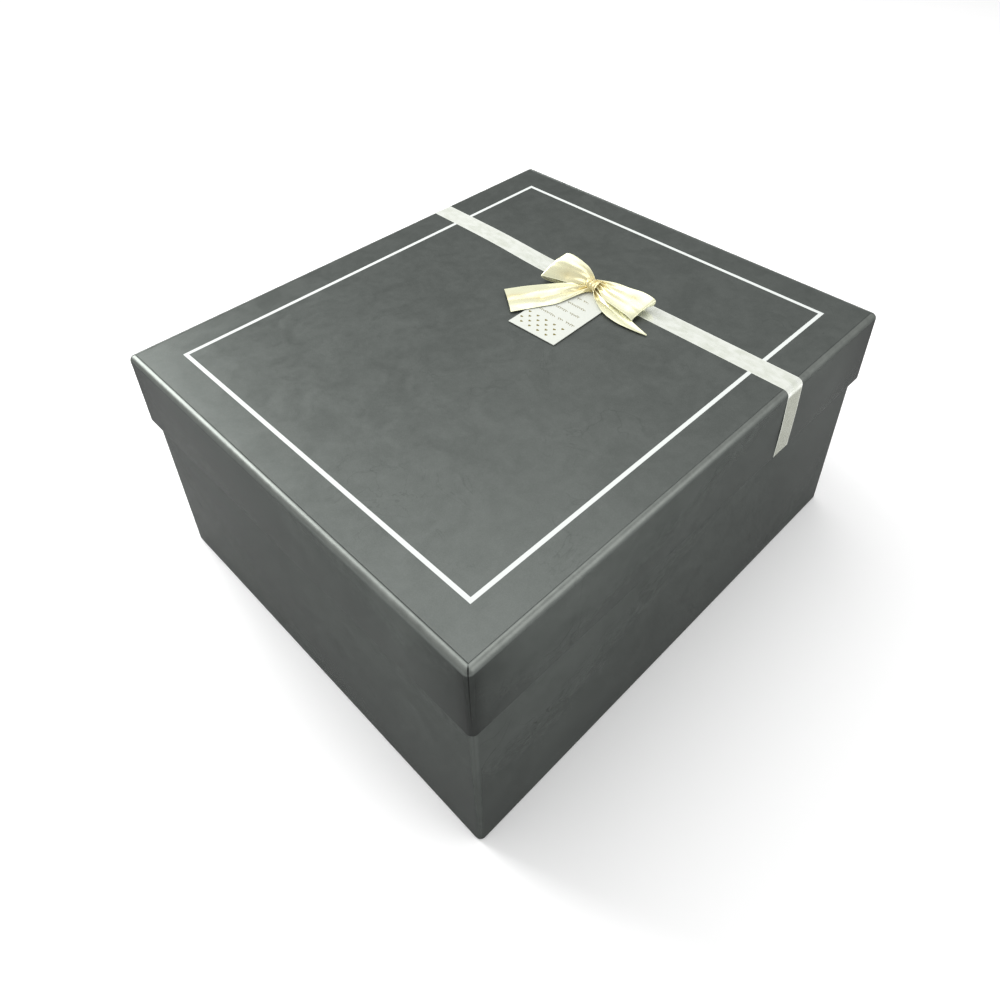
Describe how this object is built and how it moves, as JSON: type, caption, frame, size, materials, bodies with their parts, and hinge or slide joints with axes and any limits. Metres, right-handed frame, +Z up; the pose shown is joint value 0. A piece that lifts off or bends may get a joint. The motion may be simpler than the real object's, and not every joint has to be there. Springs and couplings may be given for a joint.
{
  "type": "gift box",
  "caption": "Rectangular rigid gift box with a lift-off lid, covered in pearly dark grey paper, with a satin ribbon band, a tied bow and a swing tag.",
  "frame": {"origin": "centre of the underside, on the surface that the box stands on", "axes": "+X along the long side, towards the end that the ribbon band is nearer to; +Y along the short side, away from the front; +Z up, the way the lid lifts"},
  "size_m": [0.35, 0.3004, 0.1855],
  "materials": {
    "greyboard": "matt uncoated greyboard",
    "stay_tape": "matt kraft-coloured gummed paper tape",
    "pearl_grey_paper": "pearlescent dark grey covering paper with a soft satin sheen",
    "bottom_paper": "plain dark grey paper, matt",
    "lining_paper": "smooth off-white lining paper",
    "white_foil": "bright white printed line, smooth",
    "band_satin": "ivory satin ribbon with a soft mottled sheen",
    "bow_satin": "cream satin ribbon",
    "hot_glue": "cloudy set hot-melt glue",
    "tag_card": "smooth white card",
    "tag_gold": "muted gold foil print"
  },
  "bodies": {
    "base": {"base_floor_board": "greyboard", "base_wall_board_front": "greyboard", "base_wall_board_back": "greyboard", "base_wall_board_left": "greyboard", "base_wall_board_right": "greyboard", "base_corner_stays": "stay_tape", "base_wrap": "pearl_grey_paper", "base_bottom_sheet": "bottom_paper", "base_floor_liner": "lining_paper", "base_wall_liner": "lining_paper"},
    "lid": {"lid_top_board": "greyboard", "lid_wall_board_front": "greyboard", "lid_wall_board_back": "greyboard", "lid_wall_board_left": "greyboard", "lid_wall_board_right": "greyboard", "lid_corner_stays": "stay_tape", "lid_wrap": "pearl_grey_paper", "lid_liner": "lining_paper", "lid_foil_frame": "white_foil", "ribbon_band": "band_satin", "bow_glue_dot": "hot_glue", "bow_knot": "bow_satin", "bow_loop_left": "bow_satin", "bow_loop_right": "bow_satin", "bow_tail_left": "bow_satin", "bow_tail_right": "bow_satin"},
    "tag": {"gift_tag": "tag_card"}
  },
  "joints": [
    {"name": "lid_lift", "type": "slide", "parent": "base", "child": "lid", "axis": [0, 0, 1], "range_m": [0, 0.25]},
    {"name": "tag_swivel", "type": "hinge", "parent": "lid", "child": "tag", "pos_m": [0.0722, -0.0073, 0.1667], "axis": [0, 0, 1], "range_deg": [-15, 15]}
  ]
}
